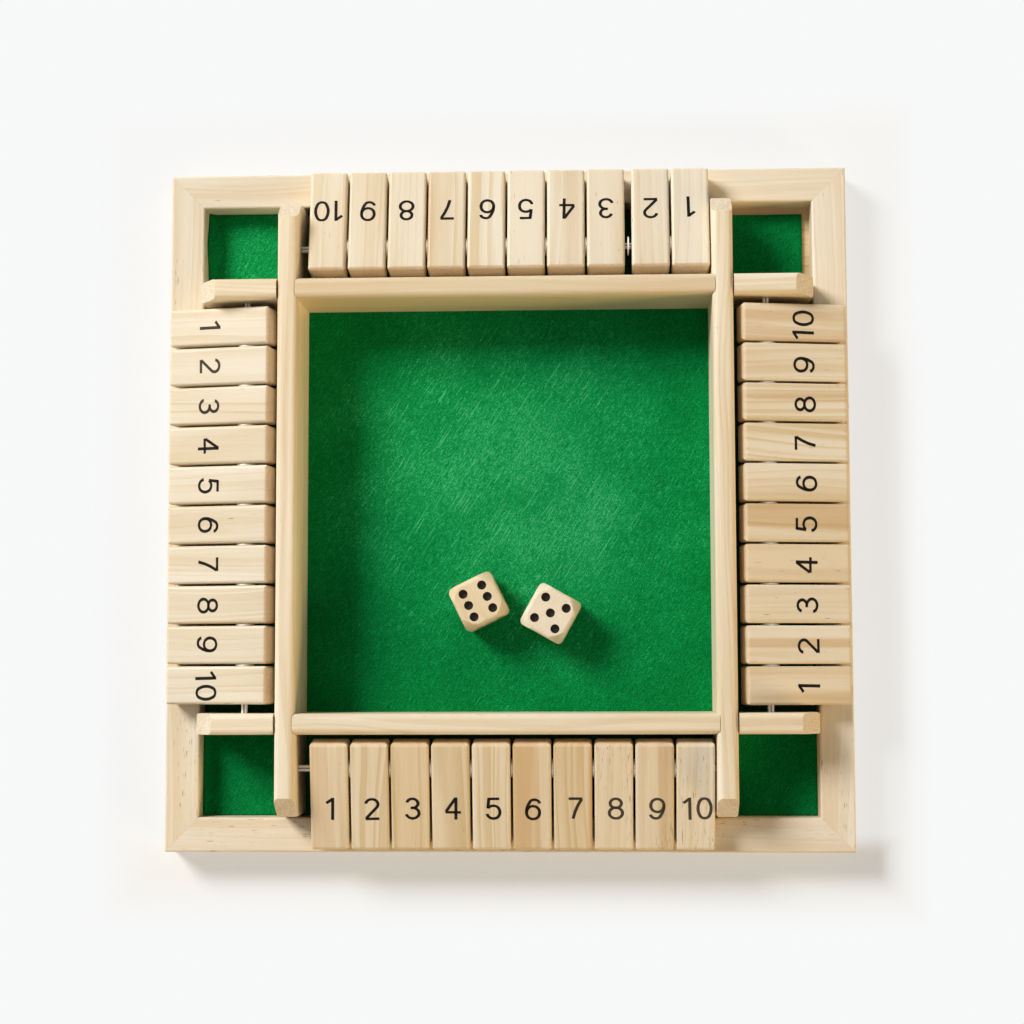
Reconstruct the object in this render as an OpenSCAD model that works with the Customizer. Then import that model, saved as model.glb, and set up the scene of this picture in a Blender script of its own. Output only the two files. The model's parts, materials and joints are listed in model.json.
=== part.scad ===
// Four-player shut the box game: a square wooden tray with a felt floor,
// a lattice of rails, rounded on top, that walls in the dice well, and a row
// of ten hinged number tiles on a steel rod along each side.
// Millimetres. +Z is up, +X right, +Y away from the front player.
// The origin is the middle of the tray's underside.

/* [Tiles] */
// Number of tiles in each row
tile_count = 10; // [8:1:10]
// Width of one tile along its rod
tile_width = 12; // [9:0.5:15]
// Thickness of a tile
tile_thickness = 8; // [6:0.5:9]
// From the rod to the outer end that rests on the tray
tile_reach = 25.4; // [24:0.2:32]
// From the rod to the inner end
tile_heel = 8.8; // [7:0.2:10]
// Rounding of a tile's four long edges
tile_side_round = 0.9; // [0.3:0.1:1.2]
// Rounding of a tile's corners seen from above
tile_corner_round = 1.3; // [0.4:0.1:1.6]
// Rounding of the inner end's top and bottom edges
tile_heel_round = 1.4; // [0.5:0.1:2]
// Rounding of the outer end's top and bottom edges
tile_toe_round = 1.2; // [0.5:0.1:1.6]
// Running gap around the rod in a tile or a washer
bore_clearance = 0.06; // [0.03:0.01:0.1]

/* [Rods and washers] */
// Diameter of the steel rod that a row of tiles turns on
rod_diameter = 2; // [1.6:0.1:3]
// Height of the rods above the table
rod_height = 21; // [20:0.2:22.6]
// How deep each rod end is seated in its rail
rod_seat = 4; // [2:0.5:5]
// Gap around the seated end of a rod
rod_seat_clearance = 0.03; // [0.01:0.01:0.05]
// Outer diameter of the spacer washers between tiles
washer_diameter = 6; // [4:0.2:6.4]
// Thickness of a spacer washer
washer_thickness = 0.5; // [0.3:0.05:1]
// Free play on each side of a washer
washer_play = 0.125; // [0.05:0.025:0.3]

/* [Rows] */
// Mean room left between a row's end tile and the rail beside it
row_end_play = 2.325; // [1.9:0.025:5]
// How far the front row is slid towards its tile 10
front_slide = 1.8; // [0:0.1:1.8]
// How far the right row is slid towards its tile 10
right_slide = 0; // [-0.2:0.1:0.2]
// How far the back row is slid towards its tile 10
back_slide = -1.2; // [-1.2:0.1:0]
// How far the left row is slid towards its tile 10
left_slide = -0.5; // [-0.5:0.1:0.2]
// Extra gap that the slid tiles leave between tiles 2 and 3 of the back row
back_extra_gap = 1.5; // [0:0.1:1.5]

/* [Rails] */
// Thickness of the rails around the dice well
rail_thickness = 6.6; // [5:0.2:9]
// Height of the rails' rounded tops above the table
rail_top = 29.5; // [28.8:0.1:31]
// Rounding of the rails' two top edges
rail_round = 2; // [1:0.1:2.4]
// Rounding of the upright edges at the rails' outer ends
rail_end_round = 0.8; // [0.2:0.1:1.5]
// Length of the bevel at the outer ends of the rails
bevel_length = 6.2; // [3:0.2:9]
// Height of that bevel
bevel_height = 8.5; // [4:0.5:10]
// Depth of the housings in the long rails that take the middle rails
housing_depth = 1; // [0.4:0.1:2]
// Gap around a middle rail's end in its housing
housing_clearance = 0.1; // [0.05:0.05:0.3]
// Gap between a short rail and the long rail that it meets
stub_gap = 0.3; // [0.1:0.1:0.6]
// Gap between the lattice's ends and the tray's inner faces
rail_end_gap = 0.8; // [0.2:0.1:2]
// Gap between a swinging tile's inner end and the rail beside it
heel_gap = 1.457; // [1:0.1:3]

/* [Tray] */
// Width of the four tray rails seen from above
tray_width = 11; // [8:0.5:16]
// Height of the tray rails
tray_height = 12.5; // [11:0.1:13.4]
// Rounding of the tray rails' top edges
tray_round = 0.8; // [0.3:0.1:1.5]
// Margin of the tray outside the resting tiles' reach
tray_margin = 1.6; // [0.5:0.1:4]
// Width of the rebate under the tray rails that takes the base board
rebate_width = 4; // [2:0.5:6]
// Gap between the base board and its rebate
base_clearance = 0.15; // [0.05:0.05:0.3]
// Thickness of the base board
base_thickness = 3; // [2:0.5:4]

/* [Felt] */
// Thickness of the felt sheet on the base board
felt_thickness = 1; // [0.6:0.1:1.6]
// Gap between the felt's edge and the tray
felt_clearance = 0.1; // [0:0.05:0.5]
// How much too short the felt is cut in the back right corner
felt_shortfall = 1.9; // [0:0.1:3]

/* [Dice] */
// Size of a die across its faces
die_size = 15; // [12:0.5:16]
// Rounding of a die's edges
die_round = 1.5; // [0.8:0.1:2]
// Radius of the ball that rounds off a die's corners, as a share of its size
die_corner_ball = 0.7; // [0.695:0.005:0.8]
// Diameter of a pip's rim
pip_diameter = 3; // [1.6:0.05:3.1]
// Depth of a pip
pip_depth = 0.6; // [0.3:0.1:1]
// Distance of a corner pip from the middle of a face, along each edge
pip_spacing = 3.7; // [3:0.1:4]
// Distance of the six's two rows from the middle of their face
six_row_offset = 3.3; // [2.5:0.1:4]
// Spacing of the three pips in a row of the six
six_row_pitch = 4; // [3.4:0.1:4]
// Place of the left die's centre across the well
left_die_x = -9; // [-30:1:-9]
// Place of the left die's centre along the well
left_die_y = -30.4; // [-45:0.2:30]
// Turn of the left die
left_die_turn = 26; // [0:1:90]
// Place of the right die's centre across the well
right_die_x = 14; // [14:1:30]
// Place of the right die's centre along the well
right_die_y = -34.3; // [-45:0.1:30]
// Turn of the right die
right_die_turn = -29; // [-90:1:0]

/* [Hidden] */
$fn = 64;

// Gap that stops just short of contact, at rest and at the end of a swing
stop_gap = 0.05;

// Along a row: pitch of the tiles and length of the row
tile_pitch = tile_width + washer_thickness + 2 * washer_play;
row_length = tile_count * tile_pitch - (tile_pitch - tile_width);

// Across the game, from the middle outwards
well_half = row_length / 2 + row_end_play;
rail_offset = well_half + rail_thickness / 2;
heel_swing = norm([tile_heel - tile_heel_round, tile_thickness / 2 - tile_heel_round]) + tile_heel_round;
rod_offset = well_half + rail_thickness + heel_gap + heel_swing;
tray_half = rod_offset + tile_reach + tray_margin;
tray_inner = tray_half - tray_width;
lattice_half = tray_inner - rail_end_gap;

// Heights
felt_top = base_thickness + felt_thickness;
rail_height = rail_top - felt_top;
rail_half = rail_thickness / 2;

// Slope of a tile whose outer end rests on the tray
toe_center_u = tile_reach - tile_toe_round;
toe_center_v = tile_thickness / 2 - tile_toe_round;
toe_drop = rod_height - tray_height - stop_gap - tile_toe_round;
rest_angle = asin(toe_drop / norm([toe_center_u, toe_center_v])) - atan2(toe_center_v, toe_center_u);

// Slope of a flipped tile that leans on the rail's rounded edge, and its swing
lean_run = rod_offset - rail_offset - rail_half + rail_round;
lean_rise = rail_top - rail_round - rod_height;
lean_gap = tile_thickness / 2 + rail_round + stop_gap;
lean_angle = atan2(lean_rise, lean_run) + asin(lean_gap / norm([lean_run, lean_rise]));
flip_angle = 180 - lean_angle + rest_angle;

// Rows go round the game anticlockwise from the front
SIDES = ["front", "right", "back", "left"];
row_slides = [front_slide, right_slide, back_slide, left_slide];
row_extra_gaps = [0, 0, back_extra_gap, 0];
// The extra gap of a row comes after this tile
gap_after_tile = 2;

WOOD = [0.93, 0.85, 0.70];
TILE_WOOD = [0.90, 0.80, 0.62];
BOARD = [0.80, 0.68, 0.48];
FELT = [0.02, 0.50, 0.22];
STEEL = [0.78, 0.78, 0.78];

function tile_name(side, number) = str(SIDES[side], "_tile_", number);

// Middle of a tile along its rod, positive towards tile 10
function tile_place(side, number) =
    (number - (tile_count + 1) / 2) * tile_pitch + row_slides[side]
    + row_extra_gaps[side] * ((number > gap_after_tile ? 0 : -1) + 0.5);

// Middle of the washer that follows a tile
function washer_place(side, number) =
    (tile_place(side, number) + tile_place(side, number + 1)) / 2;

// Rectangle with its lower left corner at the origin and its right and left
// corners rounded by radii of their own
module rounded_rectangle(width, height, left_round, right_round) {
    translate([left_round, 0]) square([width - left_round - right_round, height]);
    translate([0, left_round]) square([left_round, height - 2 * left_round]);
    translate([width - right_round, right_round]) square([right_round, height - 2 * right_round]);
    for (y = [left_round, height - left_round])
        translate([left_round, y]) circle(left_round);
    for (y = [right_round, height - right_round])
        translate([width - right_round, y]) circle(right_round);
}

// Puts a piece modelled for the front row on any side of the game
module on_side(side) {
    rotate([0, 0, 90 * side]) children();
}

// Stands an upright outline in the XZ plane and gives it a depth along Y
module upright(depth) {
    translate([0, depth / 2, 0]) rotate([90, 0, 0]) linear_extrude(depth) children();
}

// Section of a tray rail: X runs outwards from the inner face, Y is height
module tray_section() {
    difference() {
        union() {
            square([tray_width, tray_height - tray_round]);
            translate([tray_round, 0]) square([tray_width - 2 * tray_round, tray_height]);
            for (x = [tray_round, tray_width - tray_round])
                translate([x, tray_height - tray_round]) circle(tray_round);
        }
        translate([-1, -1]) square([rebate_width + 1, base_thickness + 1]);
    }
}

// One mitred rail of the tray
module tray_rail(side) {
    color(WOOD) on_side(side) intersection() {
        translate([-tray_half, -tray_inner, 0])
            rotate([90, 0, 90]) linear_extrude(2 * tray_half) mirror([1, 0]) tray_section();
        linear_extrude(tray_height) polygon([
            [-tray_half, -tray_half],
            [tray_half, -tray_half],
            [tray_inner - 1, -tray_inner + 1],
            [-tray_inner + 1, -tray_inner + 1]
        ]);
    }
}

// Plywood floor let into the tray's rebate, flush underneath
module base_board() {
    reach = tray_inner + rebate_width - base_clearance;
    color(BOARD) translate([-reach, -reach, 0]) cube([2 * reach, 2 * reach, base_thickness]);
}

// One sheet of felt under the whole lattice, short in the back right corner
module felt_sheet() {
    reach = tray_inner - felt_clearance;
    color(FELT) translate([0, 0, base_thickness]) linear_extrude(felt_thickness) difference() {
        translate([-reach, -reach]) square(2 * reach);
        translate([rail_offset, reach - felt_shortfall]) square([reach, felt_shortfall + 1]);
        translate([reach - felt_shortfall, rail_offset]) square([felt_shortfall + 1, reach]);
    }
}

// Section of every lattice rail, centred on X, with its top edges rounded
module rail_section(grow = 0) {
    half = rail_half + grow;
    flat_half = rail_half - rail_round;
    translate([-half, 0]) square([2 * half, rail_height - rail_round]);
    translate([-flat_half, 0]) square([2 * flat_half, rail_height + grow]);
    for (x = [-flat_half, flat_half])
        translate([x, rail_height - rail_round]) circle(rail_round + grow);
}

// A straight length of rail along X, standing on the felt
module rail_length(from_x, to_x, grow = 0) {
    translate([from_x, 0, felt_top])
        rotate([90, 0, 90]) linear_extrude(to_x - from_x) rail_section(grow);
}

// Side view of the lattice, which bevels the outer ends of its rails
module bevelled_side() {
    top_half = lattice_half - bevel_length;
    polygon([
        [-lattice_half, felt_top - 1],
        [lattice_half, felt_top - 1],
        [lattice_half, rail_top - bevel_height],
        [top_half, rail_top],
        [top_half, rail_top + 1],
        [-top_half, rail_top + 1],
        [-top_half, rail_top],
        [-lattice_half, rail_top - bevel_height]
    ]);
}

// Outline from above of a rail that reaches the tray, its end edges eased
module eased_plan(from_x) {
    translate([from_x, -rail_half, 0]) linear_extrude(rail_top + 1)
        rounded_rectangle(lattice_half - from_x, rail_thickness, rail_end_round, rail_end_round);
}

// Blind hole for a rod's end, along Y, seen from the well's side of a rail
module rod_seat_hole(x, y_from, y_to) {
    translate([x, y_from, rod_height])
        rotate([-90, 0, 0]) cylinder(h = y_to - y_from, r = rod_diameter / 2 + rod_seat_clearance);
}

// Long rail along the left or right of the well, housed for the middle rails
// and drilled for the front and back rods. The inner face looks to -Y here.
module long_rail_along_x() {
    inner_face = -rail_half;
    difference() {
        intersection() {
            rail_length(-lattice_half, lattice_half);
            upright(2 * rail_thickness) bevelled_side();
            eased_plan(-lattice_half);
        }
        for (x = [-rail_offset, rail_offset])
            translate([x, 0, 0]) rotate([0, 0, 90])
                rail_length(inner_face - 1, inner_face + housing_depth, housing_clearance);
        for (x = [-rod_offset, rod_offset])
            rod_seat_hole(x, inner_face - 1, inner_face + rod_seat);
    }
}

module long_rail_left() {
    color(WOOD) translate([-rail_offset, 0, 0]) rotate([0, 0, 90]) long_rail_along_x();
}

module long_rail_right() {
    color(WOOD) translate([rail_offset, 0, 0]) rotate([0, 0, -90]) long_rail_along_x();
}

// Rail between the two long rails, its ends let into their housings
module middle_rail(side) {
    reach = well_half + housing_depth - housing_clearance;
    color(WOOD) on_side(side) translate([0, -rail_offset, 0]) rail_length(-reach, reach);
}

// Short rail from a long rail out to the tray, drilled for a side rod.
// The face that looks at the tiles is at -Y.
module stub_rail() {
    start = well_half + rail_thickness + stub_gap;
    difference() {
        intersection() {
            rail_length(start, lattice_half);
            upright(2 * rail_thickness) bevelled_side();
            eased_plan(0);
        }
        rod_seat_hole(rod_offset, -rail_half - 1, -rail_half + rod_seat);
    }
}

// The pair of short rails at one end of the game
module stub_pair() {
    translate([0, rail_offset, 0]) stub_rail();
    mirror([0, 1, 0]) translate([0, rail_offset, 0]) stub_rail();
}

module stub_rails_left() {
    color(WOOD) mirror([1, 0, 0]) stub_pair();
}

module stub_rails_right() {
    color(WOOD) stub_pair();
}

// Steel rod that carries one row, seated in the rail at each end
module row_rod(side) {
    length = 2 * (well_half + rod_seat - stop_gap);
    color(STEEL) on_side(side) translate([-length / 2, -rod_offset, rod_height])
        rotate([0, 90, 0]) cylinder(h = length, d = rod_diameter);
}

// Thin steel washers on the rods, one between each two tiles
module spacer_washers() {
    color(STEEL) for (side = [0:3]) for (number = [1:tile_count - 1])
        on_side(side)
            translate([washer_place(side, number) - washer_thickness / 2, -rod_offset, rod_height])
                rotate([0, 90, 0]) washer();
}

module washer() {
    difference() {
        cylinder(h = washer_thickness, d = washer_diameter);
        translate([0, 0, -1])
            cylinder(h = washer_thickness + 2, r = rod_diameter / 2 + bore_clearance);
    }
}

// Wooden tile with its rod along X at the origin and its outer end at -Y.
// Three rounded outlines, from the side, from the end and from above, meet.
module tile_blank() {
    length = tile_heel + tile_reach;
    half = tile_thickness / 2;
    difference() {
        intersection() {
            translate([-tile_width / 2, -tile_reach, -half]) rotate([90, 0, 90])
                linear_extrude(tile_width)
                    rounded_rectangle(length, tile_thickness, tile_toe_round, tile_heel_round);
            translate([-tile_width / 2, tile_heel, -half]) rotate([90, 0, 0])
                linear_extrude(length)
                    rounded_rectangle(tile_width, tile_thickness, tile_side_round, tile_side_round);
            translate([-tile_width / 2, -tile_reach, -half])
                linear_extrude(tile_thickness)
                    rounded_rectangle(tile_width, length, tile_corner_round, tile_corner_round);
        }
        translate([-tile_width / 2 - 1, 0, 0]) rotate([0, 90, 0])
            cylinder(h = tile_width + 2, r = rod_diameter / 2 + bore_clearance);
    }
}

// A tile of one row, lying open with its outer end on the tray
module tile(side, number) {
    color(TILE_WOOD) on_side(side)
        translate([tile_place(side, number), -rod_offset, rod_height])
            rotate([rest_angle, 0, 0]) tile_blank();
}

// Places of the pips on a face with up to five, as steps from its middle
function pip_steps(count) = concat(
    count % 2 == 1 ? [[0, 0]] : [],
    count > 1 ? [[-1, 1], [1, -1]] : [],
    count > 3 ? [[-1, -1], [1, 1]] : []
);

// Places of the pips on a face: the six has two rows of three
function pip_places(count) = count == 6
    ? [for (row = [-1, 1]) for (step = [-1:1]) [row * six_row_offset, step * six_row_pitch]]
    : pip_steps(count) * pip_spacing;

// Hollows of one face's pips, cut by balls into the face at +Z
module face_pips(count) {
    ball = (pow(pip_diameter / 2, 2) + pow(pip_depth, 2)) / (2 * pip_depth);
    for (place = pip_places(count))
        translate([place[0], place[1], die_size / 2 - pip_depth + ball]) sphere(ball);
}

// Wooden die about the origin: 1 is up, and opposite faces add up to seven
module die_blank() {
    difference() {
        intersection() {
            intersection_for (turn = [[0, 0, 0], [90, 0, 0], [0, 90, 0]])
                rotate(turn) translate([-die_size / 2, -die_size / 2, -die_size / 2])
                    linear_extrude(die_size)
                        rounded_rectangle(die_size, die_size, die_round, die_round);
            sphere(die_corner_ball * die_size);
        }
        face_pips(1);
        rotate([180, 0, 0]) face_pips(6);
        rotate([90, 0, 0]) face_pips(2);
        rotate([-90, 0, 0]) face_pips(5);
        rotate([0, 90, 0]) face_pips(3);
        rotate([0, -90, 0]) face_pips(4);
    }
}

// Die with its six up
module die_left() {
    color(WOOD) translate([left_die_x, left_die_y, felt_top + die_size / 2])
        rotate([0, 0, left_die_turn]) rotate([180, 0, 0]) die_blank();
}

// Die with its five up
module die_right() {
    color(WOOD) translate([right_die_x, right_die_y, felt_top + die_size / 2])
        rotate([0, 0, right_die_turn]) rotate([90, 0, 0]) die_blank();
}

tray_rail(0);  // tray_front
tray_rail(1);  // tray_right
tray_rail(2);  // tray_back
tray_rail(3);  // tray_left
base_board();
felt_sheet();
long_rail_left();
long_rail_right();
middle_rail(0);  // middle_rail_front
middle_rail(2);  // middle_rail_back
stub_rails_left();
stub_rails_right();
row_rod(0);  // rod_front
row_rod(1);  // rod_right
row_rod(2);  // rod_back
row_rod(3);  // rod_left
spacer_washers();
die_left();
die_right();
for (side = [0:3]) for (number = [1:tile_count])
    tile(side, number);
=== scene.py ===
import json
import math
import random

import bpy
from mathutils import Euler, Matrix, Vector


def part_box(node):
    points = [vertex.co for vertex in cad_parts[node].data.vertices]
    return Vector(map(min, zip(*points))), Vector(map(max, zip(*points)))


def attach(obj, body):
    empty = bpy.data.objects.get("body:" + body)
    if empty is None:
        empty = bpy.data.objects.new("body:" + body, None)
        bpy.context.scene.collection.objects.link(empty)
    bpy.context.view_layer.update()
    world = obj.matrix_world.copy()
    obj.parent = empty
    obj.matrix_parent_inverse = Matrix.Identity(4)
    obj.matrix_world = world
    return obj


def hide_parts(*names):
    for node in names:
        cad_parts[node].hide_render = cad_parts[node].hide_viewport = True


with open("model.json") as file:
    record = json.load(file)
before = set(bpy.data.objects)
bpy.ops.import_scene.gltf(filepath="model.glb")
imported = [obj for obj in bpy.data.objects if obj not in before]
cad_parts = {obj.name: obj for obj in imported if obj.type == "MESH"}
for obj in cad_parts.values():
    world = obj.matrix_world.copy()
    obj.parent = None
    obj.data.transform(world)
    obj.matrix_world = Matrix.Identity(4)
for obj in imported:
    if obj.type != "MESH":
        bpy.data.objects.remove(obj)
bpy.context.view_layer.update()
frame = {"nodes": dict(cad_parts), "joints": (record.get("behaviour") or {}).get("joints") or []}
nodes = frame["nodes"]

# Tray: four pale pine rails, mitred and glued at the corners, sanded round
# along their upper edges and finished with a clear matt lacquer. The grain
# runs along each rail, and the glue lines show as thin, faint diagonals.
MM = 0.001
MM_PER_METRE = 1000
SIDES = ("front", "right", "back", "left")


def side_turn(side):
    """Turn that takes the front of the game to this side."""
    return Matrix.Rotation(math.radians(90 * SIDES.index(side)), 3, "Z")


def feed(tree, socket, value):
    """Links a socket to another one, or gives it a plain value."""
    if isinstance(value, bpy.types.NodeSocket):
        tree.links.new(value, socket)
    else:
        socket.default_value = value


def give(tree, node, **sockets):
    """Links or sets a node's sockets, named with _ for a space."""
    for name, value in sockets.items():
        feed(tree, node.inputs[name.replace("_", " ")], value)


def put(tree, kind, settings=None, **sockets):
    """Adds a shader node with its settings and its sockets."""
    node = tree.nodes.new("ShaderNode" + kind)
    for name, value in (settings or {}).items():
        setattr(node, name, value)
    give(tree, node, **sockets)
    return node


def maths(tree, operation, *values, clamp=False):
    """A sum of one to three numbers or sockets."""
    node = put(tree, "Math", {"operation": operation, "use_clamp": clamp})
    for socket, value in zip(node.inputs, values):
        feed(tree, socket, value)
    return node.outputs[0]


def vectors(tree, operation, *values):
    """A sum of vectors; a dot product or a length comes out as a number."""
    node = put(tree, "VectorMath", {"operation": operation})
    for socket, value in zip(node.inputs, values):
        feed(tree, socket, value)
    return node.outputs["Value" if operation in ("DOT_PRODUCT", "LENGTH") else "Vector"]


def surface(tree, kind):
    """What a shader reads of the surface, such as its Object place or Normal."""
    return tree.nodes.new("ShaderNodeTexCoord").outputs[kind]


def in_millimetres(tree):
    """The place on a piece, in millimetres of the game's own frame."""
    place = vectors(tree, "SCALE", surface(tree, "Object"))
    place.node.inputs["Scale"].default_value = MM_PER_METRE
    return place


def parts(tree, vector):
    """The X, Y and Z of a vector."""
    return put(tree, "SeparateXYZ", Vector=vector).outputs


def noise(tree, place, stretch, detail=2.0, roughness=0.5, lean=(0, 0, 0)):
    """Cloudy noise from 0 to 1; stretch is how many waves it has in each mm."""
    turned = put(tree, "Mapping", Vector=place, Rotation=lean).outputs[0]
    scaled = vectors(tree, "MULTIPLY", turned, stretch)
    wave = put(tree, "TexNoise", Vector=scaled, Scale=1.0, Detail=detail, Roughness=roughness)
    return wave.outputs["Fac"]


def between(tree, value, low, high):
    """Rises smoothly from 0 to 1 as the value goes from low to high."""
    node = put(tree, "MapRange", {"interpolation_type": "SMOOTHSTEP"}, Value=value,
               From_Min=low, From_Max=high)
    return node.outputs[0]


def blend_colour(tree, share, first, second, kind="MIX"):
    """Mixes two colours; share 0 is the first."""
    node = put(tree, "Mix", {"data_type": "RGBA", "blend_type": kind})
    first_colour, second_colour, mixed_colour = node.inputs[6], node.inputs[7], node.outputs[2]
    feed(tree, node.inputs["Factor"], share)
    feed(tree, first_colour, first)
    feed(tree, second_colour, second)
    return mixed_colour


def new_group(name, inputs, outputs):
    """An empty shader group with sockets listed by kind, and what is given to
    it and made by it, as sockets inside the group."""
    group = bpy.data.node_groups.new(name, "ShaderNodeTree")
    for way, sockets in (("INPUT", inputs), ("OUTPUT", outputs)):
        for kind, labels in sockets.items():
            for label in labels:
                group.interface.new_socket(label, in_out=way, socket_type="NodeSocket" + kind)
    given = group.nodes.new("NodeGroupInput").outputs
    made = group.nodes.new("NodeGroupOutput").inputs
    return group, given, made


def wood_grain_group():
    """Sawn softwood cut from a log along Along: growth rings about the log's middle, long fibres,
    short dark resin flecks, a duller end grain and painted shade on the ends' rounded edges."""
    group, given, made = new_group(
        "sawn wood grain",
        {"Vector": ("Along", "Across", "Shift"),
         "Float": ("Ring Width", "Ring Depth", "Streak Depth", "Fleck Share", "End Facing",
                   "Heart Share", "Arris Share"),
         "Color": ("Light", "Dark", "Heart", "Fleck", "End Shade", "Burnished")},
        {"Color": ("Color",), "Float": ("Roughness", "Height")})
    ring_sway, ring_unevenness = 9.0, 2.5
    fibre_share, hair_share, drift_share, mean_shade = 0.75, 0.45, 1.9, 0.25
    fleck_limit, fleck_reach, fleck_edge, fleck_cover = 0.86, 0.16, 14.0, 0.75
    end_edge, end_evenness = 6.0, 0.5
    smoothest, fibre_roughness, end_roughness = 0.42, 0.16, 0.15
    fibre_relief, fleck_relief, ring_relief = 0.5, 0.6, 0.25

    third = vectors(group, "CROSS_PRODUCT", given["Along"], given["Across"])
    place = in_millimetres(group)
    ways = zip("XYZ", (given["Along"], given["Across"], third))
    board = {way: vectors(group, "DOT_PRODUCT", place, axis) for way, axis in ways}
    board = put(group, "CombineXYZ", **board).outputs[0]
    log = vectors(group, "ADD", board, given["Shift"])

    sway = noise(group, log, (0.011, 0.045, 0.045), detail=1.0)
    fibre = noise(group, log, (0.035, 1.1, 1.1), detail=3.0, roughness=0.6)
    hair = noise(group, log, (0.22, 4.5, 4.5), detail=2.0)
    drift = noise(group, log, (0.012, 0.12, 0.12), detail=1.0)

    across_log = vectors(group, "LENGTH", vectors(group, "MULTIPLY", log, (0, 1, 1)))
    radius = maths(group, "ADD", across_log, maths(group, "MULTIPLY", sway, ring_sway))
    rings = maths(group, "DIVIDE", radius, given["Ring Width"])
    years = put(group, "TexNoise", {"noise_dimensions": "1D"}, W=radius, Scale=0.22, Detail=1.0)
    uneven = maths(group, "MULTIPLY", years.outputs["Fac"], ring_unevenness)
    phase = maths(group, "FRACT", maths(group, "ADD", rings, uneven))
    rise = between(group, phase, 0.25, 0.88)
    fall = between(group, phase, 1.0, 0.92)
    ring = maths(group, "MULTIPLY", rise, fall)

    shade = maths(group, "MULTIPLY", ring, given["Ring Depth"])
    for wave, share in ((fibre, fibre_share), (hair, hair_share), (drift, drift_share)):
        centred = maths(group, "SUBTRACT", wave, 0.5)
        streak = maths(group, "MULTIPLY", centred, share)
        streak = maths(group, "MULTIPLY", streak, given["Streak Depth"])
        shade = maths(group, "ADD", shade, streak)
    shade = maths(group, "ADD", shade, mean_shade, clamp=True)
    colour = blend_colour(group, shade, given["Light"], given["Dark"])
    band = noise(group, log, (0.006, 0.16, 0.16), detail=1.5)
    band = maths(group, "MULTIPLY", between(group, band, 0.46, 0.58), given["Heart Share"])
    colour = blend_colour(group, band, colour, given["Heart"], kind="MULTIPLY")

    dash = noise(group, log, (0.30, 2.6, 2.6), detail=0.0)
    patch = between(group, noise(group, log, (0.02, 0.09, 0.09), detail=1.0), 0.42, 0.62)
    reach = maths(group, "MULTIPLY", given["Fleck Share"], fleck_reach)
    over = maths(group, "SUBTRACT", dash, maths(group, "SUBTRACT", fleck_limit, reach))
    over = maths(group, "MULTIPLY", over, fleck_edge, clamp=True)
    fleck = maths(group, "MULTIPLY", over, patch)
    cover = maths(group, "MULTIPLY", fleck, fleck_cover)
    colour = blend_colour(group, cover, colour, given["Fleck"])

    ahead = vectors(group, "DOT_PRODUCT", surface(group, "Normal"), given["Along"])
    end = maths(group, "SUBTRACT", maths(group, "ABSOLUTE", ahead), given["End Facing"])
    end = maths(group, "MULTIPLY", end, end_edge, clamp=True)
    pores = between(group, noise(group, log, (3.0, 3.0, 3.0), detail=2.0), 0.36, 0.62)
    mottled = blend_colour(group, pores, given["End Shade"], (1, 1, 1, 1))
    even = blend_colour(group, end_evenness, colour, given["Light"])
    ended = blend_colour(group, 1.0, even, mottled, kind="MULTIPLY")
    colour = blend_colour(group, end, colour, ended)
    # Painted shade: the rounded edge between a face and an end is multiplied by a shade colour,
    # standing for the shade that falls there.
    rounded = between(group, ahead, 0.20, 0.34), between(group, ahead, 0.92, 0.40)
    arris = maths(group, "MULTIPLY", *rounded)
    arris = maths(group, "MULTIPLY", arris, given["Arris Share"])
    colour = blend_colour(group, arris, colour, given["Burnished"], kind="MULTIPLY")

    rough = maths(group, "MULTIPLY", fibre, fibre_roughness)
    rough = maths(group, "ADD", rough, smoothest)
    rough = maths(group, "ADD", rough, maths(group, "MULTIPLY", end, end_roughness))
    fibres = [maths(group, "MULTIPLY", wave, fibre_relief) for wave in (hair, fibre)]
    relief = maths(group, "ADD", *fibres)
    relief = maths(group, "SUBTRACT", relief, maths(group, "MULTIPLY", fleck, fleck_relief))
    relief = maths(group, "ADD", relief, maths(group, "MULTIPLY", ring, ring_relief))
    for label, value in (("Color", colour), ("Roughness", rough), ("Height", relief)):
        feed(group, made[label], value)
    return group


GRAIN = wood_grain_group()
PINE_LIGHT = (0.862, 0.788, 0.645, 1)
PINE_DARK = (0.70, 0.53, 0.32, 1)
HEART = (0.80, 0.65, 0.47, 1)
# Painted shade for the rounded edges of the tiles' ends.
PAINTED_HEEL_SHADE = (0.98, 0.82, 0.66, 1)
RESIN = (0.24, 0.13, 0.06, 1)
END_SHADE = (0.70, 0.65, 0.60, 1)


def new_material(name):
    """An empty material: its tree and its main shader."""
    material = bpy.data.materials.new(name)
    material.use_nodes = True
    return material, material.node_tree, material.node_tree.nodes["Principled BSDF"]


def add_relief(tree, shader, height, strength, depth):
    """Bumps a surface by a pattern; depth is in millimetres."""
    bump = put(tree, "Bump", Strength=strength, Distance=depth * MM, Height=height)
    give(tree, shader, Normal=bump.outputs["Normal"])


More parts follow.
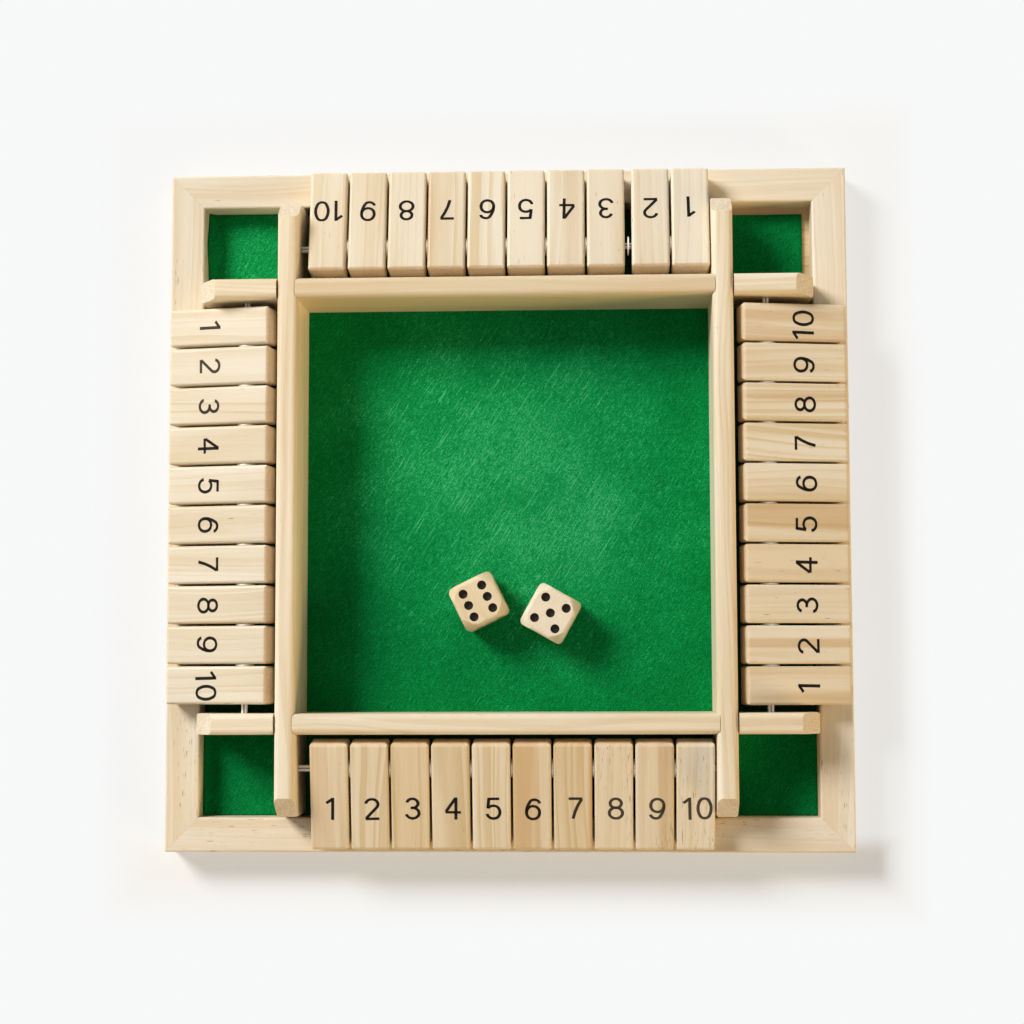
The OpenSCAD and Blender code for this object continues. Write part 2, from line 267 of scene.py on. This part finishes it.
def wood(name, along, across, shift, light=PINE_LIGHT, dark=PINE_DARK, ring_width=2.6,
         ring_depth=0.35, streak_depth=0.75, fleck_share=0.5, heart_share=0.0, painted_shade_share=0.0,
         end_shade=END_SHADE, end_facing=0.62):
    """Lacquered wood whose fibres run along one direction of the game."""
    material, tree, shader = new_material(name)
    grain = put(tree, "Group", {"node_tree": GRAIN}, Along=along, Across=across, Shift=shift,
                Ring_Width=ring_width, Ring_Depth=ring_depth, Streak_Depth=streak_depth,
                Fleck_Share=fleck_share, Heart_Share=heart_share, Arris_Share=painted_shade_share,
                Light=light, Dark=dark, Heart=HEART, Fleck=RESIN, End_Shade=end_shade,
                Burnished=PAINTED_HEEL_SHADE, End_Facing=end_facing).outputs
    give(tree, shader, Base_Color=grain["Color"], Roughness=grain["Roughness"],
         Specular_IOR_Level=0.3, Coat_Weight=0.18, Coat_Roughness=0.25)
    add_relief(tree, shader, grain["Height"], strength=0.6, depth=0.12)
    return material


def finish_node(name, material):
    """Gives a node of the frame its material."""
    nodes[name].material_slots[0].material = material


def add_glue_lines(material):
    """Darkens the thin lines where the tray's mitres meet, on its diagonals."""
    line_half_width, line_share = 0.35 * MM, 0.07
    tree = material.node_tree
    base = tree.nodes["Principled BSDF"].inputs["Base Color"]
    place = parts(tree, surface(tree, "Object"))
    across, ahead = (maths(tree, "ABSOLUTE", place[way]) for way in "XY")
    apart = maths(tree, "ABSOLUTE", maths(tree, "SUBTRACT", across, ahead))
    line = between(tree, apart, line_half_width, 0.05 * MM)
    share = maths(tree, "MULTIPLY", line, line_share)
    feed(tree, base, blend_colour(tree, share, base.links[0].from_socket, RESIN))


# How far the tray's rails were cut from one another, along their log and out
# from its middle, and the two that are a little darker or paler.
along_log, out_of_log = 170, 6
tray_tones = {"front": (0.84, 0.757, 0.63, 1), "right": (0.885, 0.82, 0.70, 1)}
for number, side in enumerate(SIDES):
    turn = side_turn(side)
    tray_wood = wood(f"tray_{side}_pine", turn @ Vector((1, 0, 0)), turn @ Vector((0, 1, 0)),
                     (along_log * number, 31 + out_of_log * number, 24),
                     light=tray_tones.get(side, PINE_LIGHT), ring_width=3.4, ring_depth=0.22,
                     streak_depth=0.6, fleck_share=0.35 if side == "back" else 0.8)
    add_glue_lines(tray_wood)
    finish_node(f"tray_{side}", tray_wood)

# Base board: a sheet of thin birch plywood let into the rebate under the
# tray. It shows as a pale strip where the felt is cut short, and underneath.
board_across = Vector((0, 0.05, 1)).normalized()
finish_node("base_board", wood("birch_plywood", Vector((1, 0, 0)), board_across, (0, 0, 58),
                               light=(0.74, 0.57, 0.35, 1), dark=(0.55, 0.37, 0.18, 1),
                               ring_width=4.5, ring_depth=0.5, fleck_share=0.3))

# Felt: one sheet of pressed wool felt, about 1 mm thick, glued to the base
# board under the whole lattice. It was cut short in the back right corner
# and a little long at the left, where it rides up against the tray.
felt_low, felt_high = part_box("felt_sheet")
felt_half = felt_high.x
felt_short = 1.9 * MM
rail_line = 69 * MM
felt_cells = 264


def new_piece(name):
    """Names the object that was just added or joined."""
    piece = bpy.context.object
    piece.name = piece.data.name = name
    return piece


def let_go():
    """Deselects every object."""
    bpy.ops.object.select_all(action="DESELECT")


def apply_modifier(piece, kind, **settings):
    """Adds a modifier and applies it at once."""
    bpy.context.view_layer.objects.active = piece
    modifier = piece.modifiers.new(kind.lower(), kind)
    for name, value in settings.items():
        setattr(modifier, name, value)
    bpy.ops.object.modifier_apply(modifier=modifier.name)


def place_in_mesh(piece):
    """Moves the object's place and turn into its mesh."""
    let_go()
    piece.select_set(True)
    bpy.context.view_layer.objects.active = piece
    bpy.ops.object.transform_apply(location=True, rotation=True, scale=True)


def start_editing(kind="VERT"):
    """Opens the active piece's mesh with nothing in it selected."""
    bpy.ops.object.mode_set(mode="EDIT")
    bpy.ops.mesh.select_mode(type=kind)
    bpy.ops.mesh.select_all(action="DESELECT")


def stop_editing():
    """Closes the mesh, so that what is selected in it can be read and set."""
    bpy.ops.object.mode_set(mode="OBJECT")


let_go()
bpy.ops.mesh.primitive_grid_add(x_subdivisions=felt_cells, y_subdivisions=felt_cells,
                                size=2 * felt_half, location=(0, 0, felt_high.z))
felt = new_piece("felt_cloth")
place_in_mesh(felt)

start_editing("FACE")
stop_editing()
inner = felt_half - felt_short
for face in felt.data.polygons:
    x, y = face.center.x, face.center.y
    face.select = (x > rail_line and y > inner) or (y > rail_line and x > inner)
bpy.ops.object.mode_set(mode="EDIT")
bpy.ops.mesh.delete(type="FACE")
stop_editing()

for name, size, height in (("nap", 0.0009, 0.13 * MM), ("ripple", 0.012, 0.35 * MM)):
    cloud = bpy.data.textures.new(name, "CLOUDS")
    cloud.noise_scale = size
    cloud.noise_depth = 2
    apply_modifier(felt, "DISPLACE", texture=cloud, strength=height, mid_level=0.5,
                   direction="Z", texture_coords="GLOBAL")


# The fold along the tray's left rail, in millimetres: its width and height at
# the front, then at the back, where it also bulges near the corner.
front_width, front_height = 2.4, 2.2
back_width, back_height = 2.2, 1.6
bulge_width, bulge_height = 2.4, 2.6
bulge_middle, bulge_reach = 11, 7
dip_depth, dip_reach = 0.25, 0.9


def hump(distance, reach):
    """A smooth hump, 1 high in its middle."""
    return math.exp(-(distance / reach) ** 2)


def curl_height(x, y):
    """Rise of the felt where it is pushed up against the tray's left rail."""
    from_wall = (x + felt_half) / MM
    from_end = (felt_half - abs(y)) / MM
    width, height = front_width, front_height
    if y > 0:
        bulge = hump(from_end - bulge_middle, bulge_reach)
        width = back_width + bulge_width * bulge
        height = back_height + bulge_height * bulge
    rise = max(0, 1 - from_wall / width)
    dip = -dip_depth * hump(from_wall - width, dip_reach)
    return (height * rise ** 1.4 + dip) * MM


for vertex in felt.data.vertices:
    if vertex.co.x < -rail_line and abs(vertex.co.y) > rail_line:
        vertex.co.z += curl_height(vertex.co.x, vertex.co.y)

start_editing("EDGE")
bpy.ops.mesh.select_non_manifold()
bpy.ops.mesh.extrude_edges_move(TRANSFORM_OT_translate={"value": (0, 0, felt_low.z - felt_high.z)})
stop_editing()
for vertex in felt.data.vertices:
    if vertex.select:
        vertex.co.z = felt_low.z
bpy.ops.object.mode_set(mode="EDIT")
bpy.ops.mesh.edge_face_add()
bpy.ops.mesh.select_all(action="SELECT")
bpy.ops.mesh.normals_make_consistent(inside=False)
stop_editing()
for face in felt.data.polygons:
    face.use_smooth = face.normal.z > 0.3


def flat_distance(tree, place, middle):
    """Distance from a point, seen from above."""
    away = vectors(tree, "ADD", place, (-middle[0], -middle[1], 0))
    return vectors(tree, "LENGTH", vectors(tree, "MULTIPLY", away, (1, 1, 0)))


material, tree, shader = new_material("brushed_green_felt")
place = in_millimetres(tree)
brushed = (0, 0, math.radians(-57))
hairs = noise(tree, place, (0.34, 3.5, 1.0), detail=2.0, roughness=0.6, lean=brushed)
tufts = noise(tree, place, (2.4, 2.4, 2.4), detail=2.0, roughness=0.6)
clouds = noise(tree, place, (0.05, 0.05, 0.05), detail=1.0)
thread = noise(tree, place, (0.075, 2.6, 1.0), detail=0.0, lean=brushed)
# Painted light: the middle of the felt and its back left corner are made paler where the key
# lamp's light and sheen fall, and the rest is left darker as painted shade near the rails. Stray
# threads show only in that painted light.
painted_light_middle = between(tree, flat_distance(tree, place, (2, 9)), 90, 14)
painted_light_corner = between(tree, flat_distance(tree, place, (-84, 85)), 20, 4)
painted_light_corner = maths(tree, "MULTIPLY", painted_light_corner, 0.55)
painted_light_and_wear = maths(tree, "MAXIMUM", painted_light_middle, painted_light_corner)
plain_tone, painted_light_share, stray_share = 0.30, 0.36, 0.42
tone = maths(tree, "ADD", plain_tone, maths(tree, "MULTIPLY", painted_light_and_wear, painted_light_share))
for wave, share in ((hairs, 1.1), (tufts, 1.3), (clouds, 0.4)):
    centred = maths(tree, "SUBTRACT", wave, 0.5)
    tone = maths(tree, "ADD", tone, maths(tree, "MULTIPLY", centred, share))
stray = maths(tree, "MULTIPLY", between(tree, thread, 0.70, 0.77), painted_light_and_wear)
tone = maths(tree, "ADD", tone, maths(tree, "MULTIPLY", stray, stray_share), clamp=True)
end_shades = (0.0, 0.120, 0.024, 1), (0.085, 0.545, 0.230, 1)
middle_shades = {0.40: (0.001, 0.215, 0.047, 1), 0.70: (0.008, 0.350, 0.096, 1)}
ramp = put(tree, "ValToRGB", Fac=tone)
stops = ramp.color_ramp.elements
for stop, shade in zip(stops, end_shades):
    stop.color = shade
for position, shade in middle_shades.items():
    stops.new(position).color = shade
roughness = maths(tree, "ADD", maths(tree, "MULTIPLY", tufts, 0.1), 0.88)
give(tree, shader, Base_Color=ramp.outputs["Color"], Roughness=roughness,
     Specular_IOR_Level=0.06, Sheen_Weight=0.04, Sheen_Roughness=0.45,
     Sheen_Tint=(0.15, 0.9, 0.4, 1))
pile = maths(tree, "ADD", tufts, maths(tree, "MULTIPLY", hairs, 1.2))
add_relief(tree, shader, pile, strength=0.9, depth=0.25)
felt.data.materials.append(material)
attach(felt, "board")
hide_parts("felt_sheet")

# Lattice: two long rails from tray to tray, two rails housed between them
# and four short ones, all of pine sanded round on top, with sloping ends
# that show their end grain. They stand on the felt.
lengthways, crossways = 1, 0
rail_turns = {"long_rail_left": lengthways, "long_rail_right": lengthways,
              "middle_rail_front": crossways, "middle_rail_back": crossways,
              "stub_rails_left": crossways, "stub_rails_right": crossways}
rail_pine = (0.88, 0.78, 0.61, 1)
# The back middle rail's darker tone is painted shade, standing for the shaded slope of its rounded
# top.
rail_tones = {"middle_rail_back": (0.735, 0.62, 0.435, 1),
              "middle_rail_front": (0.85, 0.75, 0.585, 1)}
for number, (name, quarter) in enumerate(rail_turns.items()):
    turn = Matrix.Rotation(math.radians(90 * quarter), 3, "Z")
    finish_node(name, wood(f"{name}_pine", turn @ Vector((1, 0, 0)), turn @ Vector((0, 1, 0)),
                           (90 * number, 14 + 5 * number, 19 + 3 * number), ring_width=2.2,
                           light=rail_tones.get(name, rail_pine), fleck_share=0.2))

# Rods and washers: bright drawn steel wire, 2 mm thick, that each row of
# tiles turns on, with a thin steel washer between every two tiles.


def steel(name, along, tone, roughness, painted_dark_reflection=0.0):
    """Bright steel with fine lines along the way it was drawn or turned; the last
    argument is how dark the painted reflection along its upper line is."""
    material, tree, shader = new_material(name)
    place = in_millimetres(tree)
    lines = noise(tree, place, tuple(0.15 if way else 7.0 for way in along), detail=2.0)
    dull = noise(tree, place, (0.3, 0.3, 0.3), detail=2.0)
    dark, light = tone
    bright = blend_colour(tree, lines, (*dark, 1), (*light, 1))
    # Painted reflection: the top of a rod is darkened, as if it mirrored the dark space overhead.
    up = parts(tree, surface(tree, "Normal"))["Z"]
    upper = maths(tree, "MULTIPLY", between(tree, up, 0.93, 0.98), painted_dark_reflection)
    colour = blend_colour(tree, upper, bright, (0.05, 0.05, 0.05, 1))
    spread = maths(tree, "MULTIPLY", dull, 0.2)
    give(tree, shader, Base_Color=colour, Roughness=maths(tree, "ADD", spread, roughness),
         Metallic=0.12)
    add_relief(tree, shader, lines, strength=0.3, depth=0.03)
    return material


rod_tones = (0.86, 0.85, 0.83), (0.97, 0.96, 0.94)
# The washers' cream tone is partly painted reflection of the pine tiles around them.
washer_steel_and_reflection = (0.93, 0.87, 0.79), (1.0, 0.97, 0.91)
for side in SIDES:
    along = (1, 0, 0) if side in ("front", "back") else (0, 1, 0)
    finish_node(f"rod_{side}", steel(f"rod_{side}_steel", along, rod_tones, 0.12, painted_dark_reflection=0.85))
finish_node("spacer_washers", steel("washer_steel", (0, 0, 0), washer_steel_and_reflection, 0.35))

# Tiles: forty short pine boards, drilled across near one end and rounded on
# every edge. Each was cut from its own stretch of board, so the tone and
# the grain change from tile to tile.
tile_numbers = range(1, 11)
rods = {joint["child"]: joint for joint in frame["joints"] if joint["type"] == "hinge"}
tile_tones = {"front": 0.66, "right": 0.42, "back": 0.34, "left": 0.34}
tile_seeds = {"front": 462, "right": 677, "back": 4289, "left": 3333}


def tile_place(name):
    """Where a tile lies: its middle on the rod, with X along the rod, Y along
    the tile towards the middle of the game and Z out of its numbered face."""
    rod = rods[name]
    across = -Vector(rod["axis"])
    tops = [face for face in nodes[name].data.polygons if face.normal.z > 0.5]
    up = max(tops, key=lambda face: face.area).normal.copy()
    low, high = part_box(name)
    origin = Vector(rod["pos_m"])
    origin += across * across.dot((low + high) / 2 - origin)
    turn = Matrix((across, up.cross(across), up)).transposed()
    return Matrix.Translation(origin) @ turn.to_4x4()


# Tiles that hold some brown heartwood, those that were cut from a board full
# of resin flecks, and those that are browner or, below 0, paler than their row.
heartwood = {"front_tile_1": 0.5, "front_tile_6": 1.0, "front_tile_7": 1.0, "front_tile_9": 0.6,
             "right_tile_1": 0.3, "right_tile_2": 0.8, "right_tile_5": 0.8, "right_tile_8": 0.5,
             "right_tile_10": 0.5, "back_tile_4": 0.3, "back_tile_7": 0.3}
flecked = {"front_tile_8": 1.1, "front_tile_9": 1.6, "front_tile_10": 0.9}
browner = {"front_tile_1": -0.1, "front_tile_2": -0.15, "front_tile_3": 0.35,
           "front_tile_5": -0.15, "front_tile_7": 0.35, "front_tile_8": 0.1,
           "front_tile_10": -0.35, "right_tile_1": 0.2, "right_tile_4": 0.3,
           "right_tile_10": -0.1, "back_tile_1": -0.15, "back_tile_6": -0.15,
           "left_tile_1": -0.05}
tone_spread = 0.10
heart_paleness = 0.12
pale_tile, brown_tile = (0.872, 0.816, 0.70, 1), (0.765, 0.615, 0.405, 1)
pale_rings, brown_rings = (0.76, 0.62, 0.42, 1), (0.59, 0.43, 0.22, 1)
# Lit and shaded copies of the end grain: the back and left rows, whose ends face away from the key
# lamp, get a browner end and the full painted shade on its edge; the front and right rows, which
# face the lamp, get a paler end and little of it.
end_in_light, end_in_shade = (0.95, 0.84, 0.69, 1), (1.0, 0.82, 0.61, 1)
rows_in_shade = ("back", "left")


def mix(first, second, share):
    """A colour between two others."""
    return tuple(a + (b - a) * share for a, b in zip(first, second))


for side in SIDES:
    chance = random.Random(f"{side} {tile_seeds[side]}")
    for number in tile_numbers:
        name = f"{side}_tile_{number}"
        heart = heartwood.get(name, 0)
        turn = tile_place(name).to_3x3()
        tone = tile_tones[side] + chance.uniform(-tone_spread, tone_spread) + browner.get(name, 0)
        tone = min(1, max(0, tone - heart_paleness * heart))
        shift = (chance.uniform(0, 900), chance.uniform(8, 45), chance.uniform(10, 40))
        finish_node(name, wood(f"{name}_pine", turn.col[1], turn.col[0], shift,
                               light=mix(pale_tile, brown_tile, tone),
                               dark=mix(pale_rings, brown_rings, tone),
                               ring_width=chance.uniform(2.6, 7.0),
                               ring_depth=0.2 + 0.7 * chance.random() ** 3, streak_depth=0.8,
                               fleck_share=flecked.get(name, chance.choice((0.0, 0.1, 0.4))),
                               heart_share=heart, end_facing=0.28,
                               painted_shade_share=1.0 if side in rows_in_shade else 0.12,
                               end_shade=end_in_shade if side in rows_in_shade else end_in_light))

# Numbers: pad-printed in black ink, a light upright sans about 7 mm high,
# with their tops towards the middle of the game and each a little off true.
# Sizes are in millimetres.
digit_pen = 0.82
digit_widen = 1.20
ten_places = (1, -3.0), (0, 2.1)
ink_above = 0.03
ink_below = 0.02

# Where a row's numbers are printed, in the X and Y of tile_place.
print_places = {"front": (0.5, -12.0), "right": (-0.6, -11.2), "back": (-0.1, -11.45),
                "left": (0, -11.3)}


def oval(half_width, half_height, end_radius):
    """Moves round an upright oval of four arcs, from its right side upwards."""
    rise = half_height - end_radius
    side_radius = (rise ** 2 + half_width ** 2 - end_radius ** 2) / (2 * (half_width - end_radius))
    lean = math.degrees(math.atan2(rise, side_radius - half_width))
    side, end = (side_radius, lean), (end_radius, 180 - 2 * lean)
    return [side, end, (side_radius, 2 * lean), end, side]


# Each digit is drawn by strokes: a start, a heading in degrees and moves. A
# number alone is a straight length, and a pair is an arc: its radius and its
# turn, to the left or, where the turn is negative, to the right.
ZERO = [((1.70, 0), 90, oval(1.70, 3.12, 1.30))]
ONE = [((0.45, 3.52), -90, [7.04]), ((0.40, 3.16), -139.5, [2.10])]
TWO = [((-1.60, 1.78), 80, [(1.62, -210), 4.42]), ((-1.80, -3.12), 0, [3.60])]
THREE = [((-1.48, 1.92), 80, [(1.45, -260), 0.5]), ((-0.35, 0.22), 0, [0.3, (1.67, -258)])]
FOUR = [((0.62, 3.30), -120.2, [4.92]), ((-2.02, -1.22), 0, [4.04]), ((0.72, 3.52), -90, [7.04])]
FIVE = [((-1.30, 3.12), 0, [2.90]), ((-1.10, 3.40), -95.6, [3.30]),
        ((-1.39, 0.12), 60, [(1.60, -124.9), (2.66, -50.2), (1.60, -129.8), (2.66, -14)])]
SIX = [((1.72, -1.07), 90, oval(1.70, 2.05, 1.60)),
       ((-1.70, -1.07), 90, [(6.94, -30), (1.30, -60), (1.42, -80)])]
SEVEN = [((-1.80, 3.10), 0, [3.60]), ((1.62, 2.95), -120.2, [(19.0, 20)])]
EIGHT = [((1.45, 1.67), 90, [(1.45, 360)]), ((1.72, -1.41), 90, [(1.71, 360)])]
NINE = [((-x, -y), heading + 180, moves) for (x, y), heading, moves in SIX]
DIGITS = [ZERO, ONE, TWO, THREE, FOUR, FIVE, SIX, SEVEN, EIGHT, NINE]


def select_front(piece, point, heading):
    """Selects the two points of the pen's edge, at a place on the stroke."""
    ahead = Vector((math.cos(heading), math.sin(heading), 0))
    for vertex in piece.data.vertices:
        away = vertex.co - point
        on_front = abs(away.dot(ahead)) < 1e-5
        vertex.select = on_front and away.length < digit_pen * 0.51


def draw_stroke(start, heading, moves):
    """A flat stroke of constant width with square ends, in millimetres."""
    heading = math.radians(heading)
    ahead = Vector((math.cos(heading), math.sin(heading), 0))
    first_length, degrees_a_step = 0.02, 9
    start = Vector((*start, 0))
    let_go()
    bpy.ops.mesh.primitive_plane_add(size=1, location=start + ahead * first_length / 2,
                                     rotation=(0, 0, heading))
    stroke = new_piece("stroke")
    stroke.scale = (first_length, digit_pen, 1)
    place_in_mesh(stroke)
    point = start + ahead * first_length
    start_editing()
    stop_editing()
    select_front(stroke, point, heading)
    bpy.ops.object.mode_set(mode="EDIT")
    for move in moves:
        if isinstance(move, tuple):
            radius, turn = move[0], math.radians(move[1])
            side = Vector((-math.sin(heading), math.cos(heading), 0)) * math.copysign(radius, turn)
            centre = point + side
            steps = max(3, round(abs(move[1]) / degrees_a_step))
            bpy.ops.mesh.spin(steps=steps, angle=-turn, center=centre, axis=(0, 0, 1))
            point = centre + Matrix.Rotation(turn, 3, "Z") @ -side
            heading += turn
        else:
            ahead = Vector((math.cos(heading), math.sin(heading), 0)) * move
            bpy.ops.mesh.extrude_edges_move(TRANSFORM_OT_translate={"value": ahead})
            point = point + ahead
    bpy.ops.mesh.select_all(action="SELECT")
    bpy.ops.mesh.remove_doubles(threshold=0.001)
    bpy.ops.mesh.normals_make_consistent(inside=False)
    stop_editing()
    return stroke


def draw_number(name, number):
    """The ink of one number, flat and in millimetres about its own middle."""
    strokes = []
    widened = Matrix.Diagonal((digit_widen, 1, 1, 1))
    for digit, across in ten_places if number == 10 else [(number, 0)]:
        for start, heading, moves in DIGITS[digit]:
            stroke = draw_stroke(start, heading, moves)
            stroke.data.transform(Matrix.Translation((across, 0, 0)) @ widened)
            strokes.append(stroke)
    let_go()
    for stroke in strokes:
        stroke.select_set(True)
    bpy.context.view_layer.objects.active = strokes[0]
    bpy.ops.object.join()
    drawn = new_piece(name)
    apply_modifier(drawn, "SOLIDIFY", thickness=ink_above + ink_below, offset=0)
    return drawn


INK, tree, shader = new_material("printed_black_ink")
place = in_millimetres(tree)
grit = noise(tree, place, (2.4, 2.4, 2.4), detail=3.0, roughness=0.7)
painted_light_and_wear = between(tree, grit, 0.60, 0.80)
ink = blend_colour(tree, painted_light_and_wear, (0.009, 0.005, 0.003, 1), (0.038, 0.026, 0.016, 1))
for faded_place in ((46, -95), (-95, 54)):
    faded = between(tree, flat_distance(tree, place, faded_place), 32, 16)
    faded = maths(tree, "MULTIPLY", faded, 0.8)
    ink = blend_colour(tree, faded, ink, (0.075, 0.058, 0.038, 1))
roughness = maths(tree, "ADD", maths(tree, "MULTIPLY", grit, 0.25), 0.5)
give(tree, shader, Base_Color=ink, Roughness=roughness, Specular_IOR_Level=0.15)
add_relief(tree, shader, grit, strength=0.4, depth=0.04)

for number in tile_numbers:
    model = draw_number("number_model", number)
    for side in SIDES:
        name = f"{side}_tile_{number}"
        chance = random.Random(f"number {side} {number}")
        where = tile_place(name)
        face = max((where.inverted() @ vertex.co).z for vertex in nodes[name].data.vertices)
        stray = Vector((chance.uniform(-0.3, 0.3), chance.uniform(-0.25, 0.25), 0))
        nudge = (Vector((*print_places[side], 0)) + stray) * MM
        nudge.z = face + (ink_above - ink_below) / 2 * MM
        tilt = Matrix.Rotation(math.radians(chance.uniform(-1.5, 1.5)), 4, "Z")
        printed = model.copy()
        printed.data = model.data.copy()
        printed.name = printed.data.name = f"{side}_number_{number}"
        bpy.context.collection.objects.link(printed)
        printed.data.transform(where @ Matrix.Translation(nudge) @ tilt @ Matrix.Scale(MM, 4))
        printed.data.materials.append(INK)
        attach(printed, name)
    bpy.data.objects.remove(model)

# Dice: two 15 mm hardwood dice, tumbled so that their corners are round,
# with drilled pips that are dotted with black paint.
# Sizes are in millimetres and turns in degrees.
die_half = 7.5
pip_radius = 1.5
pip_depth = 0.6
pip_ball = (pip_radius ** 2 + pip_depth ** 2) / (2 * pip_depth)
paint_skin = 0.02
paint_rim = 0.04
pip_spacing = 3.7
six_row_offset = 3.3
six_row_pitch = 4.0
die_turns = {"die_left": (180, 0, 26), "die_right": (90, 0, -29)}
face_turns = {1: (0, 0, 0), 6: (180, 0, 0), 2: (90, 0, 0), 5: (-90, 0, 0), 3: (0, 90, 0),
              4: (0, -90, 0)}
grain_shifts = {"die_left": (12, 21, 33), "die_right": (80, 37, 14)}
die_tones = {"die_left": 0.68, "die_right": 0.0}
pale_beech, brown_beech = (0.91, 0.82, 0.66, 1), (0.83, 0.67, 0.41, 1)
pale_lines, brown_lines = (0.78, 0.63, 0.42, 1), (0.62, 0.43, 0.20, 1)


def turned(degrees):
    """A turn given by three angles in degrees."""
    return Euler([math.radians(angle) for angle in degrees]).to_matrix().to_4x4()


def pip_places(count):
    """Places of a face's pips from its middle, as in the source of the part."""
    if count == 6:
        steps = [(row, step) for row in (-1, 1) for step in (-1, 0, 1)]
        return [(x * six_row_offset, y * six_row_pitch) for x, y in steps]
    steps = [(0, 0)] if count % 2 else []
    steps += [(-1, 1), (1, -1)] if count > 1 else []
    steps += [(-1, -1), (1, 1)] if count > 3 else []
    return [(x * pip_spacing, y * pip_spacing) for x, y in steps]


let_go()
bpy.ops.mesh.primitive_uv_sphere_add(segments=28, ring_count=32, radius=pip_ball - paint_skin,
                                     location=(0, 0, die_half - pip_depth + pip_ball))
pip = new_piece("pip_model")
place_in_mesh(pip)
start_editing()
bpy.ops.mesh.select_all(action="SELECT")
bpy.ops.mesh.bisect(plane_co=(0, 0, die_half - paint_rim), plane_no=(0, 0, 1), clear_outer=True,
                    use_fill=False)
stop_editing()
apply_modifier(pip, "SOLIDIFY", thickness=0.6 * paint_skin, offset=1)
for face in pip.data.polygons:
    face.use_smooth = True

for name, degrees in die_turns.items():
    low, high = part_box(name)
    turn = turned(degrees)
    grain, across = turn.col[1].xyz, turn.col[0].xyz
    finish_node(name, wood(f"{name}_beech", grain, across, grain_shifts[name],
                           light=mix(pale_beech, brown_beech, die_tones[name]),
                           dark=mix(pale_lines, brown_lines, die_tones[name]), ring_width=1.9,
                           ring_depth=0.25, streak_depth=0.9, fleck_share=0.1,
                           end_shade=(0.92, 0.88, 0.84, 1)))
    let_go()
    for count, face_turn in face_turns.items():
        for x, y in pip_places(count):
            dot = pip.copy()
            dot.data = pip.data.copy()
            bpy.context.collection.objects.link(dot)
            on_die = turned(face_turn) @ Matrix.Translation((x, y, 0))
            dot.data.transform(Matrix.Translation((low + high) / 2) @ turn
                               @ Matrix.Scale(MM, 4) @ on_die)
            dot.select_set(True)
    bpy.context.view_layer.objects.active = dot
    bpy.ops.object.join()
    pips = new_piece(f"{name}_pips")
    pips.data.materials.append(INK)
    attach(pips, name)
bpy.data.objects.remove(pip)

# Room: a plain near-white floor under a soft studio lamp at the upper left
# and a weak warm one low at the right, with the camera almost straight above
# the game.
BACKGROUND = (0.935, 0.94, 0.94, 1)


def shows_background(tree):
    """1 where the eye sees a surface itself or in a mirror or through glass."""
    rays = tree.nodes.new("ShaderNodeLightPath").outputs
    mirrored = maths(tree, "MAXIMUM", rays["Is Glossy Ray"], rays["Is Transmission Ray"])
    return maths(tree, "MAXIMUM", rays["Is Camera Ray"], mirrored)


let_go()
bpy.ops.mesh.primitive_plane_add(size=6, location=(0, 0, -0.1 * MM))
floor = new_piece("floor")
material, tree, shader = new_material("plain_white_table")
seen = shows_background(tree)
paper = blend_colour(tree, seen, (0.80, 0.79, 0.77, 1), (0.89, 0.90, 0.90, 1))
give(tree, shader, Base_Color=paper, Roughness=0.9, Specular_IOR_Level=0.1)
glow = put(tree, "Emission", Color=BACKGROUND).outputs[0]
place = parts(tree, surface(tree, "Object"))
across, ahead = (maths(tree, "ABSOLUTE", place[way]) for way in "XY")
away = maths(tree, "MAXIMUM", across, ahead)

# Share of plain glow in the floor: less near the tray, where the floor keeps
# its shadow, and least along the tray's front. Places are in metres.
near_share, front_loss = 0.72, 0.35
front = maths(tree, "MULTIPLY", between(tree, place["Y"], -0.104, -0.112), front_loss)
share = maths(tree, "SUBTRACT", near_share, front)
share = maths(tree, "MAXIMUM", share, between(tree, away, 0.106, 0.138))
share = maths(tree, "MULTIPLY", seen, share)
bright = put(tree, "MixShader")
for socket, value in zip(bright.inputs, (share, shader.outputs[0], glow)):
    feed(tree, socket, value)
feed(tree, tree.nodes["Material Output"].inputs["Surface"], bright.outputs[0])
floor.data.materials.append(material)


def soft_lamp(name, place, size, energy, colour):
    """A round studio lamp that faces the middle of the game."""
    lamp = bpy.data.lights.new(name, "AREA")
    lamp.shape = "DISK"
    lamp.size = size
    lamp.energy = energy
    lamp.color = colour
    holder = bpy.data.objects.new(name, lamp)
    holder.location = place
    holder.rotation_euler = (-Vector(place)).to_track_quat("-Z", "Y").to_euler()
    bpy.context.collection.objects.link(holder)


soft_lamp("key_lamp", (-1.15, 0.94, 1.17), size=0.74, energy=37.5, colour=(1.0, 0.985, 0.96))
soft_lamp("fill_lamp", (2.80, -2.05, 0.75), size=1.4, energy=78.0, colour=(1.0, 0.72, 0.34))

world = bpy.data.worlds.new("room")
bpy.context.scene.world = world
world.use_nodes = True
sky = world.node_tree
room_strength = 0.28
overhead = between(sky, parts(sky, surface(sky, "Generated"))["Z"], 0.55, 0.98)
walls = blend_colour(sky, overhead, (1.0, 0.92, 0.77, 1), (0.62, 0.58, 0.51, 1))
seen = shows_background(sky)
strength = maths(sky, "MULTIPLY", seen, 1 - room_strength)
give(sky, sky.nodes["Background"], Color=blend_colour(sky, seen, walls, BACKGROUND),
     Strength=maths(sky, "ADD", strength, room_strength))

lens = bpy.data.cameras.new("camera")
lens.lens = 68.06
lens.sensor_width = 36
camera = bpy.data.objects.new("camera", lens)
eye = Vector((28.918, -53.445, 633.018)) * MM
sight = Euler((-0.0834, -0.0438, 0.0063)).to_matrix().transposed()
camera.matrix_world = Matrix.Translation(eye) @ sight.to_4x4()
bpy.context.collection.objects.link(camera)
bpy.context.scene.camera = camera
bpy.context.scene.view_settings.view_transform = "Standard"
